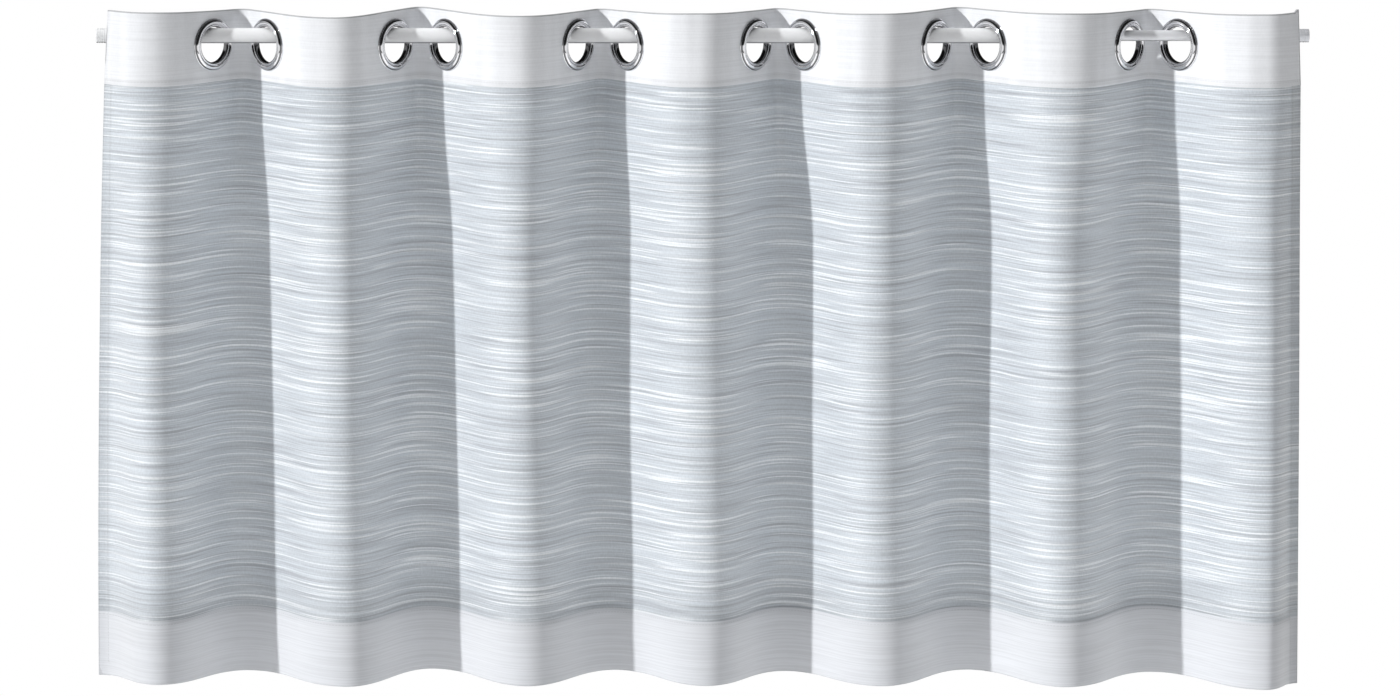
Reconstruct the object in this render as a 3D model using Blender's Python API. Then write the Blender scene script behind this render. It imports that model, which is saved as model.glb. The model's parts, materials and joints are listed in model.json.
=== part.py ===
"""Cafe curtain on a tension rod.

A short curtain with a plain heading strip, twelve metal eyelets in six pairs, a streaked body
panel with a deep bottom hem, and the two-stage telescoping rod that it is threaded on.

Frame: metres, +Z up. The origin is the centre of the left cap's end face, the rod runs along
+X, and the cloth is seen from the -Y side. Folds bulge toward -Y (ridges) and sink behind the
rod toward +Y (valleys).
"""

import math
from typing import NamedTuple

import bmesh
import bpy
import numpy as np

MM = 0.001

# Rod, in millimetres.
ROD_LENGTH = 1082.8
OUTER_TUBE_RADIUS = 6.8
INNER_TUBE_RADIUS = 4.8
TUBE_WALL = 0.7
OUTER_TUBE_END_X = 860.0
INNER_TUBE_START_X = 640.0
MOUTH_LENGTH = 5.0
MOUTH_TAPER = 0.9
BUSH_LENGTH = 8.0
BUSH_TAPER = 2.0
LEFT_CAP_RADIUS = 6.5
LEFT_CAP_LENGTH = 8.0
LEFT_CAP_SPIGOT = 14.0
RIGHT_CAP_RADIUS = 6.0
RIGHT_CAP_LENGTH = 13.0
CAP_FLOOR = 4.0
CAP_CHAMFER = 0.5
TUBE_SEGMENTS = 24

# Fit between touching pieces.
GAP = 0.3

# Cloth, in millimetres. Heights are measured from the rod's axis.
SEAM_Z = -41.4
HEM_TOP_Z = -527.5
FOOT_Z = -587.5
HEADING_THICKNESS = 2.2
BODY_THICKNESS = 1.2
HEM_THICKNESS = 2.0
SIDE_HEM_WIDTH = 10.0
HEM_STEP = 1.0

# Eyelets, in millimetres. The flank of a fold is straight where an eyelet grips it.
EYELET_OUTER_RADIUS = 23.5
EYELET_BORE_RADIUS = 15.9
EYELET_BARREL_RADIUS = 17.6
EYELET_Z = -8.0
BEAD_HEIGHT = 2.9
FLANGE_HEIGHT = 1.9
EYELET_SEGMENTS = 20
FLAT_HALF = 23.7
FIRST_SLOPE = 1.2
SLOPE_ROUNDS = 40

# The stiff heading's folds relax into the body's softer ones between the seam and this height.
SOFT_Z = -190.0
MID_Z = -250.0
# Half the share of a stretch over which the cloth's direction is measured.
NORMAL_SPAN = 0.004
# Sheet corners and turned corners sharper than this are shaded as edges.
CLOTH_CREASE = math.radians(40.0)
TURNED_CREASE = math.radians(35.0)


class Fold(NamedTuple):
    """One turning point of the cloth: a side edge, a ridge or a valley.

    head_x, mid_x and foot_x are its places along the rod at the heading, at mid height and at
    the hem; head_y and foot_y its depth; top_z and foot_z the heights of the cloth's two edges.
    lean is how far its upper corner lies along the rod from its place at the seam.
    """

    kind: str
    head_x: float
    mid_x: float
    foot_x: float
    head_y: float
    foot_y: float
    top_z: float
    foot_z: float
    lean: float = 0.0


FOLDS = (
    Fold("edge", 8.5, -1.0, -11.0, -19.0, 8.0, 25.0, -588.0, lean=7.5),
    Fold("ridge", 51.0, 48.5, 49.5, -39.0, -43.0, 25.0, -585.3),
    Fold("valley", 128.0, 123.0, 123.0, 23.2, 28.0, 21.6, -588.6),
    Fold("ridge", 214.5, 217.0, 219.0, -42.8, -44.0, 21.0, -587.0),
    Fold("valley", 287.5, 285.5, 293.5, 23.5, 23.0, 23.4, -585.9),
    Fold("ridge", 377.0, 380.0, 383.0, -45.0, -42.0, 22.6, -586.7),
    Fold("valley", 449.5, 444.5, 460.0, 24.0, 11.0, 21.6, -584.4),
    Fold("ridge", 537.5, 542.0, 544.5, -42.3, -40.0, 24.6, -586.8),
    Fold("valley", 608.8, 616.0, 614.5, 23.2, 19.0, 22.2, -587.4),
    Fold("ridge", 697.0, 699.5, 703.0, -43.5, -38.5, 24.4, -587.5),
    Fold("valley", 770.7, 775.5, 784.0, 24.0, 21.5, 23.1, -586.6),
    Fold("ridge", 862.0, 863.5, 871.0, -45.5, -44.5, 24.8, -586.8),
    Fold("valley", 942.7, 944.0, 953.0, 22.7, 25.0, 21.6, -589.7),
    Fold("ridge", 1039.0, 1046.0, 1052.0, -46.0, -44.0, 24.0, -589.6),
    Fold("edge", 1073.0, 1077.0, 1083.0, -28.0, -14.0, 24.2, -590.5, lean=-3.0),
)

# Row of the first valley in that table. The valleys are every second row from there.
FIRST_VALLEY = 2


class EyeletPair(NamedTuple):
    """The two eyelets beside one valley: their places along the rod."""

    left_x: float
    right_x: float


EYELET_PAIRS = (
    EyeletPair(103.4, 153.4),
    EyeletPair(265.9, 313.2),
    EyeletPair(428.9, 475.0),
    EyeletPair(587.8, 632.5),
    EyeletPair(748.7, 797.3),
    EyeletPair(921.3, 967.5),
)


class Flank(NamedTuple):
    """The cloth from a ridge to a valley, as a slope that ramps up, holds and ramps down.

    slope is the held slope of depth over distance along the rod. crest, rise, hold and sink are
    the distances, from the ridge, over which the slope is nil, grows, holds and dies away.
    """

    slope: float
    crest: float
    rise: float
    hold: float
    sink: float


# A flank one unit wide, for the soft folds below the heading.
SOFT_FLANK = Flank(slope=1.0, crest=0.0, rise=0.44, hold=0.12, sink=0.44)
# Shares of an edge flank's width that its slope takes to grow, to hold and to die away.
EDGE_RISE = 0.75
EDGE_HOLD = 0.15
EDGE_SINK = 0.10


def clear_objects() -> None:
    """Remove whatever objects the file holds."""
    for old in list(bpy.data.objects):
        bpy.data.objects.remove(old, do_unlink=True)


def make_material(name, colour, roughness, metallic=0.0):
    """Return a Principled material of one colour."""
    material = bpy.data.materials.new(name)
    material.use_nodes = True
    shader = material.node_tree.nodes["Principled BSDF"]
    shader.inputs["Base Color"].default_value = (*colour, 1.0)
    shader.inputs["Roughness"].default_value = roughness
    shader.inputs["Metallic"].default_value = metallic
    return material


def link_object(name, mesh, material):
    """Put a mesh in the scene as a named object with one material."""
    piece = bpy.data.objects.new(name, mesh)
    bpy.context.scene.collection.objects.link(piece)
    if not mesh.materials:
        mesh.materials.append(material)
    return piece


def smooth_step(value):
    """Ease a share from 0 to 1, flat at both ends."""
    share = min(max(value, 0.0), 1.0)
    return share * share * (3.0 - 2.0 * share)


def through_three(height, at_head, at_mid, at_foot):
    """Return the smooth curve through a fold's places at the seam, at mid height and at the foot."""
    share = (height - SEAM_Z) / (FOOT_Z - SEAM_Z)
    mid = (MID_Z - SEAM_Z) / (FOOT_Z - SEAM_Z)
    head_weight = (share - mid) * (share - 1.0) / mid
    mid_weight = share * (share - 1.0) / (mid * (mid - 1.0))
    foot_weight = share * (share - mid) / (1.0 - mid)
    return head_weight * at_head + mid_weight * at_mid + foot_weight * at_foot


def fold_place(fold, height):
    """Return a fold's distance along the rod and its depth at one height."""
    if height >= SEAM_Z:
        upward = (height - SEAM_Z) / (fold.top_z - SEAM_Z)
        return fold.head_x + fold.lean * upward, fold.head_y
    share = (height - SEAM_Z) / (FOOT_Z - SEAM_Z)
    along = through_three(height, fold.head_x, fold.mid_x, fold.foot_x)
    return along, fold.head_y + (fold.foot_y - fold.head_y) * share


def eyelet_x(ridge, valley):
    """Return the place of the eyelet between a ridge and a valley."""
    pair = EYELET_PAIRS[(FOLDS.index(valley) - FIRST_VALLEY) // 2]
    return pair.left_x if ridge.head_x < valley.head_x else pair.right_x


def heading_flank(ridge, valley):
    """Work out a heading flank whose straight stretch carries its eyelet on the rod's axis.

    The held slope brings the cloth from the valley's depth to nil at the eyelet's centre, and
    the rise is as long as the ridge's depth asks.
    """
    to_eyelet = abs(valley.head_x - eyelet_x(ridge, valley))
    slope = FIRST_SLOPE
    for _ in range(SLOPE_ROUNDS):
        half_hold = FLAT_HALF / math.hypot(1.0, slope)
        slope = 2.0 * valley.head_y / (to_eyelet + half_hold)
    hold = 2.0 * half_hold
    sink = to_eyelet - half_hold
    depth = valley.head_y - ridge.head_y
    rise = 2.0 * (depth / slope - hold - sink / 2.0)
    crest = abs(valley.head_x - ridge.head_x) - rise - hold - sink
    assert crest > -0.01, f"the ridge at {ridge.head_x} is too deep for its flank"
    return Flank(slope, max(crest, 0.0), rise, hold, sink)


def edge_flank(ridge, edge):
    """Return the half fold between a side edge and the ridge beside it."""
    width = abs(edge.head_x - ridge.head_x)
    depth = edge.head_y - ridge.head_y
    rise, hold, sink = EDGE_RISE * width, EDGE_HOLD * width, EDGE_SINK * width
    return Flank(depth / (rise / 2.0 + hold + sink / 2.0), 0.0, rise, hold, sink)


def flank_depth(flank, distance):
    """Return how far the cloth has sunk behind its ridge, at a distance from the ridge."""
    into_rise = min(max(distance - flank.crest, 0.0), flank.rise)
    into_hold = min(max(distance - flank.crest - flank.rise, 0.0), flank.hold)
    into_sink = max(distance - flank.crest - flank.rise - flank.hold, 0.0)
    depth = flank.slope * into_rise * into_rise / (2.0 * flank.rise)
    depth += flank.slope * into_hold
    if flank.sink > 0.0:
        depth += flank.slope * (into_sink - into_sink * into_sink / (2.0 * flank.sink))
    return depth


class Stretch(NamedTuple):
    """The cloth between two neighbouring folds, read from left to right."""

    left: Fold
    right: Fold
    flank: Flank


def make_stretches():
    """Pair neighbouring folds with the flank that joins them."""
    stretches = []
    for left, right in zip(FOLDS, FOLDS[1:]):
        ridge, other = (left, right) if left.kind == "ridge" else (right, left)
        flank = edge_flank(ridge, other) if other.kind == "edge" else heading_flank(ridge, other)
        stretches.append(Stretch(left, right, flank))
    return stretches


def sheet_point(stretch, share, height):
    """Return the mid surface of the cloth.

    share runs from 0 at the stretch's left fold to 1 at its right fold.
    """
    left_x, left_y = fold_place(stretch.left, height)
    right_x, right_y = fold_place(stretch.right, height)
    from_ridge = share if stretch.left.kind == "ridge" else 1.0 - share
    ridge_y, other_y = (left_y, right_y) if stretch.left.kind == "ridge" else (right_y, left_y)
    flank = stretch.flank
    width = flank.crest + flank.rise + flank.hold + flank.sink
    stiff = flank_depth(flank, from_ridge * width) / flank_depth(flank, width)
    soft = flank_depth(SOFT_FLANK, from_ridge) / flank_depth(SOFT_FLANK, 1.0)
    stiffness = 1.0 - smooth_step((SEAM_Z - height) / (SEAM_Z - SOFT_Z))
    blend = stiffness * stiff + (1.0 - stiffness) * soft
    return left_x + (right_x - left_x) * share, ridge_y + (other_y - ridge_y) * blend


def sheet_normal(stretch, share, height):
    """Return the cloth's unit normal in plan, toward the viewer."""
    x0, y0 = sheet_point(stretch, max(share - NORMAL_SPAN, 0.0), height)
    x1, y1 = sheet_point(stretch, min(share + NORMAL_SPAN, 1.0), height)
    run = math.hypot(x1 - x0, y1 - y0)
    return (y1 - y0) / run, -(x1 - x0) / run


def edge_height(stretch, share, which):
    """Return the height of the cloth's top or bottom edge along a stretch."""
    low = getattr(stretch.left, which)
    high = getattr(stretch.right, which)
    return low + (high - low) * smooth_step(share)


def thick_sheet(name, points, faces):
    """Close a mid surface into a solid sheet.

    Args:
        name: the mesh's name.
        points: rows of (x, y, z, normal x, normal y, half thickness), in millimetres.
        faces: loops of point numbers, seen counter-clockwise by the viewer.
    """
    table = np.array(points)
    offset = np.zeros((len(table), 3))
    offset[:, :2] = table[:, 3:5] * table[:, 5:6]
    front = table[:, :3] + offset
    back = table[:, :3] - offset
    count = len(table)
    solid_faces = [tuple(face) for face in faces]
    solid_faces += [tuple(count + corner for corner in reversed(face)) for face in faces]
    edges = {(face[i], face[(i + 1) % len(face)]) for face in faces for i in range(len(face))}
    for start, end in sorted(edges):
        if (end, start) not in edges:
            solid_faces.append((end, start, count + start, count + end))
    mesh = bpy.data.meshes.new(name)
    mesh.from_pydata((np.vstack((front, back)) * MM).tolist(), [], solid_faces)
    mesh.shade_smooth()
    mesh.set_sharp_from_angle(angle=CLOTH_CREASE)
    return mesh


# Shares of a fold flank, from the ridge, at which the panel has a column of points.
FLANK_COLUMNS = (0.0, 0.14, 0.28, 0.42, 0.56, 0.70, 0.82, 0.90, 0.95, 1.0)
# Shares of an edge stretch, from the edge, at which the panel has columns past its side hem.
EDGE_COLUMNS = (0.55, 0.78, 1.0)
# Heights of the panel's rows between the seam and the hem.
PANEL_ROWS = (-85.0, -130.0, -190.0, -270.0, -390.0)


def edge_columns(stretch):
    """Return the shares of an edge stretch's columns, with a step at the side hem."""
    width = abs(stretch.right.head_x - stretch.left.head_x)
    hem = SIDE_HEM_WIDTH / width
    step = HEM_STEP / width
    from_edge = (0.0, hem / 2, hem, hem + step, *EDGE_COLUMNS)
    if stretch.left.kind == "edge":
        return from_edge
    return tuple(1.0 - share for share in reversed(from_edge))


def flank_columns(stretch):
    """Return the shares of a flank's columns, left to right."""
    if stretch.left.kind == "ridge":
        return FLANK_COLUMNS
    return tuple(1.0 - share for share in reversed(FLANK_COLUMNS))


def is_side_hem(stretch, share):
    """Tell whether a point lies in the doubled cloth along a side edge."""
    width = abs(stretch.right.head_x - stretch.left.head_x)
    hem = SIDE_HEM_WIDTH / width + 1e-6
    at_left = stretch.left.kind == "edge" and share <= hem
    at_right = stretch.right.kind == "edge" and share >= 1.0 - hem
    return at_left or at_right


def build_panel(stretches, material):
    """Build the body panel with its bottom hem and side hems, just under the heading."""
    top = SEAM_Z - GAP
    columns = []
    for stretch in stretches:
        is_edge = "edge" in (stretch.left.kind, stretch.right.kind)
        shares = edge_columns(stretch) if is_edge else flank_columns(stretch)
        start = 0 if not columns else 1
        columns += [(stretch, share) for share in shares[start:]]
    points = []
    for stretch, share in columns:
        foot = edge_height(stretch, share, "foot_z")
        heights = (top, *PANEL_ROWS, HEM_TOP_Z, HEM_TOP_Z - HEM_STEP, foot)
        for height in heights:
            x, y = sheet_point(stretch, share, height)
            normal = sheet_normal(stretch, share, height)
            doubled = height < HEM_TOP_Z or is_side_hem(stretch, share)
            half = (HEM_THICKNESS if doubled else BODY_THICKNESS) / 2
            points.append((x, y, height, *normal, half))
    rows = len(PANEL_ROWS) + 4
    faces = []
    for column in range(len(columns) - 1):
        for row in range(rows - 1):
            corner = column * rows + row
            faces.append((corner, corner + 1, corner + rows + 1, corner + rows))
    return link_object("panel", thick_sheet("panel", points, faces), material)


# Shares of an edge stretch, from the ridge, at which the heading has a column of points.
HEADING_EDGE_COLUMNS = (0.25, 0.5, 0.75, 1.0)
SIDE_STEPS = 4
RISE_STEPS = 4
SINK_STEPS = 3
# A crest narrower than this has no column of its own.
LEAST_CREST = 2.0


def heading_columns(stretch):
    """Split a heading flank into the columns before its eyelet and those after it."""
    flank = stretch.flank
    width = flank.crest + flank.rise + flank.hold + flank.sink
    rise_start = flank.crest / width
    hold_start = (flank.crest + flank.rise) / width
    hold_end = (flank.crest + flank.rise + flank.hold) / width
    near_ridge = [0.0]
    if flank.crest > LEAST_CREST:
        near_ridge.append(rise_start)
    first = near_ridge[-1]
    near_ridge += [first + (hold_start - first) * i / RISE_STEPS for i in range(1, RISE_STEPS + 1)]
    near_valley = [hold_end + (1.0 - hold_end) * i / SINK_STEPS for i in range(SINK_STEPS + 1)]
    if stretch.left.kind == "ridge":
        return near_ridge, near_valley
    mirrored_valley = [1.0 - share for share in reversed(near_valley)]
    mirrored_ridge = [1.0 - share for share in reversed(near_ridge)]
    return mirrored_valley, mirrored_ridge


class HeadingMesh:
    """Collects the heading's mid surface, one column or one eyelet window at a time."""

    def __init__(self):
        """Start with no points."""
        self.points = []
        self.faces = []
        self.last_column = None

    def add_point(self, stretch, share, height):
        """Add one point of the mid surface and return its number."""
        x, y = sheet_point(stretch, share, height)
        normal = sheet_normal(stretch, share, height)
        self.points.append((x, y, height, *normal, HEADING_THICKNESS / 2))
        return len(self.points) - 1

    def add_column(self, stretch, share):
        """Add a column of points from top to seam and join it to the column before it."""
        top = edge_height(stretch, share, "top_z")
        heights = [top + (SEAM_Z - top) * i / SIDE_STEPS for i in range(SIDE_STEPS + 1)]
        column = [self.add_point(stretch, share, height) for height in heights]
        if self.last_column:
            for i in range(SIDE_STEPS):
                before = self.last_column
                self.faces.append((before[i], before[i + 1], column[i + 1], column[i]))
        self.last_column = column

    def add_window(self, stretch, start, end):
        """Add the straight stretch with its eyelet's hole, from one column to the next."""
        left_side = self.last_column
        self.last_column = None
        self.add_column(stretch, end)
        right_side = self.last_column
        spare = EYELET_SEGMENTS // 2 - SIDE_STEPS
        bottom = []
        top = []
        for i in range(1, spare):
            share = start + (end - start) * i / spare
            bottom.append(self.add_point(stretch, share, SEAM_Z))
            top.append(self.add_point(stretch, share, edge_height(stretch, share, "top_z")))
        frame = left_side + bottom + right_side[::-1] + top[::-1]
        hole = self.add_hole(stretch, start, end)
        for i in range(EYELET_SEGMENTS):
            after = (i + 1) % EYELET_SEGMENTS
            self.faces.append((frame[i], frame[after], hole[after], hole[i]))

    def add_hole(self, stretch, start, end):
        """Add the circle of points round an eyelet, counter-clockwise from its upper left."""
        middle = (start + end) / 2
        radius = EYELET_BARREL_RADIUS + GAP
        start_point = sheet_point(stretch, start, SEAM_Z)
        end_point = sheet_point(stretch, end, SEAM_Z)
        length = math.dist(start_point, end_point)
        hole = []
        turn = 2.0 * math.pi / EYELET_SEGMENTS
        first = math.pi - turn * SIDE_STEPS / 2
        for i in range(EYELET_SEGMENTS):
            angle = first + turn * i
            share = middle + (end - start) * radius * math.cos(angle) / length
            hole.append(self.add_point(stretch, share, EYELET_Z + radius * math.sin(angle)))
        return hole


def build_heading(stretches, material):
    """Build the doubled heading strip with its twelve eyelet holes."""
    strip = HeadingMesh()
    for stretch in stretches:
        if stretch.left.kind == "edge":
            for share in HEADING_EDGE_COLUMNS[::-1]:
                strip.add_column(stretch, 1.0 - share)
            strip.add_column(stretch, 1.0)
        elif stretch.right.kind == "edge":
            for share in HEADING_EDGE_COLUMNS:
                strip.add_column(stretch, share)
        else:
            before, after = heading_columns(stretch)
            for share in before[1:]:
                strip.add_column(stretch, share)
            strip.add_window(stretch, before[-1], after[0])
            for share in after[1:]:
                strip.add_column(stretch, share)
    return link_object("heading", thick_sheet("heading", strip.points, strip.faces), material)


def turned_mesh(name, profile, segments, phase=0.0):
    """Turn a closed profile of (radius, along) points about the local Z axis.

    The profile runs up the outer side and down the inner one. A point with no radius becomes
    one shared point on the axis.
    """
    mesh = bpy.data.meshes.new(name)
    work = bmesh.new()
    rings = []
    for radius, along in profile:
        if radius == 0.0:
            rings.append([work.verts.new((0.0, 0.0, along * MM))] * segments)
            continue
        angles = [phase + 2.0 * math.pi * i / segments for i in range(segments)]
        circle = [(radius * MM * math.cos(a), radius * MM * math.sin(a), along * MM) for a in angles]
        rings.append([work.verts.new(place) for place in circle])
    for low, high in zip(rings, rings[1:] + rings[:1]):
        for i in range(segments):
            after = (i + 1) % segments
            corners = list(dict.fromkeys((low[i], low[after], high[after], high[i])))
            if len(corners) > 2:
                work.faces.new(corners)
    work.to_mesh(mesh)
    work.free()
    mesh.shade_smooth()
    mesh.set_sharp_from_angle(angle=TURNED_CREASE)
    return mesh


def eyelet_profile():
    """Return the ring's section: a front bead and a back flange with a groove between them."""
    lip = HEADING_THICKNESS / 2 + GAP
    outer = EYELET_OUTER_RADIUS
    bore = EYELET_BORE_RADIUS
    barrel = EYELET_BARREL_RADIUS
    return (
        (outer, lip),
        (outer - 0.4, lip + BEAD_HEIGHT * 0.6),
        (outer - 2.6, lip + BEAD_HEIGHT),
        (bore + 1.6, lip + BEAD_HEIGHT * 0.9),
        (bore, lip + BEAD_HEIGHT * 0.3),
        (bore, -lip - FLANGE_HEIGHT * 0.2),
        (bore + 1.8, -lip - FLANGE_HEIGHT),
        (outer - 1.4, -lip - FLANGE_HEIGHT * 0.7),
        (outer - 0.8, -lip),
        (barrel, -lip),
        (barrel, lip),
    )


def build_eyelets(stretches, material):
    """Place one ring on each eyelet hole, square to the cloth it grips."""
    phase = math.pi / EYELET_SEGMENTS
    mesh = turned_mesh("eyelet", eyelet_profile(), EYELET_SEGMENTS, phase)
    rings = []
    for stretch in stretches:
        if "edge" in (stretch.left.kind, stretch.right.kind):
            continue
        falling = stretch.left.kind == "ridge"
        ridge, valley = (stretch.left, stretch.right) if falling else (stretch.right, stretch.left)
        yaw = math.atan(stretch.flank.slope) * (1.0 if falling else -1.0)
        ring = link_object(f"eyelet_{len(rings) + 1:02d}", mesh, material)
        ring.location = (eyelet_x(ridge, valley) * MM, 0.0, EYELET_Z * MM)
        ring.rotation_euler = (math.pi / 2, 0.0, yaw)
        rings.append(ring)
    return rings


def build_turned_on_rod(name, profile, material):
    """Turn a profile of (along the rod, radius) points about the rod's axis."""
    mesh = turned_mesh(name, [(radius, along) for along, radius in profile], TUBE_SEGMENTS)
    piece = link_object(name, mesh, material)
    piece.rotation_euler = (0.0, math.pi / 2, 0.0)
    return piece


def build_rod(enamel, satin, rubber):
    """Build the outer tube, the inner tube that slides in it, and the two end caps."""
    tube_start = LEFT_CAP_LENGTH + GAP
    bore = OUTER_TUBE_RADIUS - TUBE_WALL
    mouth = INNER_TUBE_RADIUS + GAP
    end = OUTER_TUBE_END_X
    outer_tube = (
        (tube_start, bore),
        (tube_start, OUTER_TUBE_RADIUS),
        (end - MOUTH_TAPER, OUTER_TUBE_RADIUS),
        (end, OUTER_TUBE_RADIUS - MOUTH_TAPER),
        (end, mouth),
        (end - MOUTH_LENGTH + MOUTH_TAPER, mouth),
        (end - MOUTH_LENGTH, bore),
    )
    build_turned_on_rod("rod_outer_tube", outer_tube, enamel)

    inner_end = ROD_LENGTH - CAP_FLOOR - GAP
    start = INNER_TUBE_START_X
    inner_tube = (
        (start, INNER_TUBE_RADIUS - TUBE_WALL),
        (start, bore - GAP),
        (start + BUSH_LENGTH, bore - GAP),
        (start + BUSH_LENGTH + BUSH_TAPER, INNER_TUBE_RADIUS),
        (inner_end, INNER_TUBE_RADIUS),
        (inner_end, INNER_TUBE_RADIUS - TUBE_WALL),
    )
    build_turned_on_rod("rod_inner_tube", inner_tube, satin)

    left_cap = (
        (0.0, 0.0),
        (0.0, LEFT_CAP_RADIUS - CAP_CHAMFER),
        (CAP_CHAMFER, LEFT_CAP_RADIUS),
        (LEFT_CAP_LENGTH, LEFT_CAP_RADIUS),
        (LEFT_CAP_LENGTH, bore - GAP),
        (LEFT_CAP_LENGTH + LEFT_CAP_SPIGOT, bore - GAP),
        (LEFT_CAP_LENGTH + LEFT_CAP_SPIGOT, 0.0),
    )
    build_turned_on_rod("rod_cap_left", left_cap, rubber)

    right_cap = (
        (ROD_LENGTH - CAP_FLOOR, 0.0),
        (ROD_LENGTH - CAP_FLOOR, INNER_TUBE_RADIUS + GAP),
        (ROD_LENGTH - RIGHT_CAP_LENGTH, INNER_TUBE_RADIUS + GAP),
        (ROD_LENGTH - RIGHT_CAP_LENGTH, RIGHT_CAP_RADIUS),
        (ROD_LENGTH - CAP_CHAMFER, RIGHT_CAP_RADIUS),
        (ROD_LENGTH, RIGHT_CAP_RADIUS - CAP_CHAMFER),
        (ROD_LENGTH, 0.0),
    )
    build_turned_on_rod("rod_cap_right", right_cap, rubber)


def main():
    """Build the curtain, its eyelets and its rod."""
    clear_objects()
    streaked = make_material("streaked_cloth", (0.72, 0.76, 0.80), 0.9)
    plain = make_material("plain_cloth", (0.90, 0.92, 0.94), 0.9)
    chrome = make_material("eyelet_chrome", (0.80, 0.80, 0.82), 0.12, 1.0)
    enamel = make_material("rod_enamel", (0.88, 0.89, 0.91), 0.35)
    satin = make_material("rod_satin", (0.84, 0.85, 0.87), 0.3, 0.4)
    rubber = make_material("rod_caps", (0.85, 0.86, 0.88), 0.6)
    stretches = make_stretches()
    build_heading(stretches, plain)
    build_panel(stretches, streaked)
    build_eyelets(stretches, chrome)
    build_rod(enamel, satin, rubber)


main()
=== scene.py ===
"""Cafe curtain on a tension rod: the finished look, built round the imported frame.

The cloth, the eyelets and the rod are modelled again in fine meshes in the places that the frame
gives, and each gets its own finish. Lengths in the classes below are in millimetres and become
metres where a mesh is made. Heights are measured from the rod's axis, +X runs along the rod to
the right, and the viewer stands on the -Y side.
"""

from __future__ import annotations

import json
import logging
import math
from collections.abc import Iterable, Sequence
from dataclasses import dataclass, field
from enum import Enum

import bpy
import numpy as np
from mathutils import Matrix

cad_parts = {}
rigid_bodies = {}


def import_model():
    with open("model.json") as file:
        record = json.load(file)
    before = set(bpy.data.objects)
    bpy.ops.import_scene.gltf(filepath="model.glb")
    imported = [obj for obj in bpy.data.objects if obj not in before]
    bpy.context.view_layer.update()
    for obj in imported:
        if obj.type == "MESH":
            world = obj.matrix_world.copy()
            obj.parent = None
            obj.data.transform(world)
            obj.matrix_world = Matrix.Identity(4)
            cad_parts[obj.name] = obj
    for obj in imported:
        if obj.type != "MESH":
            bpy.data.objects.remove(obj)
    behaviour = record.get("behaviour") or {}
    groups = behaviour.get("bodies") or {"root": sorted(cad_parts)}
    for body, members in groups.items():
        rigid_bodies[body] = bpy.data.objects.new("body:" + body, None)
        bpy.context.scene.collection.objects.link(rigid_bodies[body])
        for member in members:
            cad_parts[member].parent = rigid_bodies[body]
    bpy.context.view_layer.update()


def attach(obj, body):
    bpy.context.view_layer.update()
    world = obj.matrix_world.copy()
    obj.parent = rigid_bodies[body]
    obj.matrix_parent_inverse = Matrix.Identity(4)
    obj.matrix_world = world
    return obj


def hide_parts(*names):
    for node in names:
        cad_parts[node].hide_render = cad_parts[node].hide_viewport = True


LOG = logging.getLogger("cafe_curtain")
MM = 0.001
BODY = "root"
CLOTH_COORDINATES = "cloth"
IMAGE_WIDTH = 1400
IMAGE_HEIGHT = 696

Colour = tuple[float, float, float]
Point = tuple[float, float, float]


class Turn(Enum):
    """What the cloth does at a turning point."""

    EDGE = "edge"
    RIDGE = "ridge"
    VALLEY = "valley"


class Slot(Enum):
    """The record's material slots."""

    PLAIN_CLOTH = "plain_cloth"
    STREAKED_CLOTH = "streaked_cloth"
    EYELET = "eyelet_metal"
    ENAMEL = "rod_enamel"
    SATIN = "rod_satin"
    CAPS = "rod_caps"


def smooth_step(value: float) -> float:
    """Ease a share from 0 to 1, flat at both ends."""
    share = min(max(value, 0.0), 1.0)
    return share * share * (3.0 - 2.0 * share)


@dataclass(frozen=True)
class Fold:
    """One turning point of the cloth, in millimetres.

    head_x, mid_x and foot_x are its places along the rod at the heading, at mid height and at
    the hem; head_y and foot_y its depth; top_z and foot_z the heights of the cloth's two edges.
    lean is how far its upper corner lies along the rod from its place at the seam.
    """

    turn: Turn
    head_x: float
    mid_x: float
    foot_x: float
    head_y: float
    foot_y: float
    top_z: float
    foot_z: float
    lean: float = 0.0


FOLDS = (
    Fold(Turn.EDGE, 8.5, -1.0, -11.0, -19.0, 8.0, 25.0, -588.0, lean=4.5),
    Fold(Turn.RIDGE, 51.0, 48.5, 49.5, -39.0, -43.0, 25.0, -585.3),
    Fold(Turn.VALLEY, 128.0, 123.0, 123.0, 23.2, 28.0, 21.6, -588.6),
    Fold(Turn.RIDGE, 214.5, 217.0, 219.0, -42.8, -44.0, 21.0, -587.0),
    Fold(Turn.VALLEY, 287.5, 285.5, 293.5, 23.5, 23.0, 23.4, -585.9),
    Fold(Turn.RIDGE, 377.0, 380.0, 383.0, -45.0, -42.0, 22.6, -586.7),
    Fold(Turn.VALLEY, 449.5, 444.5, 460.0, 24.0, 11.0, 21.6, -584.4),
    Fold(Turn.RIDGE, 537.5, 542.0, 544.5, -42.3, -40.0, 24.6, -586.8),
    Fold(Turn.VALLEY, 608.8, 616.0, 614.5, 23.2, 19.0, 22.2, -587.4),
    Fold(Turn.RIDGE, 697.0, 699.5, 703.0, -43.5, -38.5, 24.4, -587.5),
    Fold(Turn.VALLEY, 770.7, 775.5, 784.0, 24.0, 21.5, 23.1, -586.6),
    Fold(Turn.RIDGE, 862.0, 863.5, 871.0, -45.5, -44.5, 24.8, -586.8),
    Fold(Turn.VALLEY, 942.7, 944.0, 953.0, 22.7, 25.0, 21.6, -589.7),
    Fold(Turn.RIDGE, 1039.0, 1046.0, 1052.0, -46.0, -44.0, 24.0, -589.6),
    Fold(Turn.EDGE, 1073.0, 1077.0, 1083.0, -28.0, -14.0, 24.2, -590.5, lean=-3.0),
)

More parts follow.
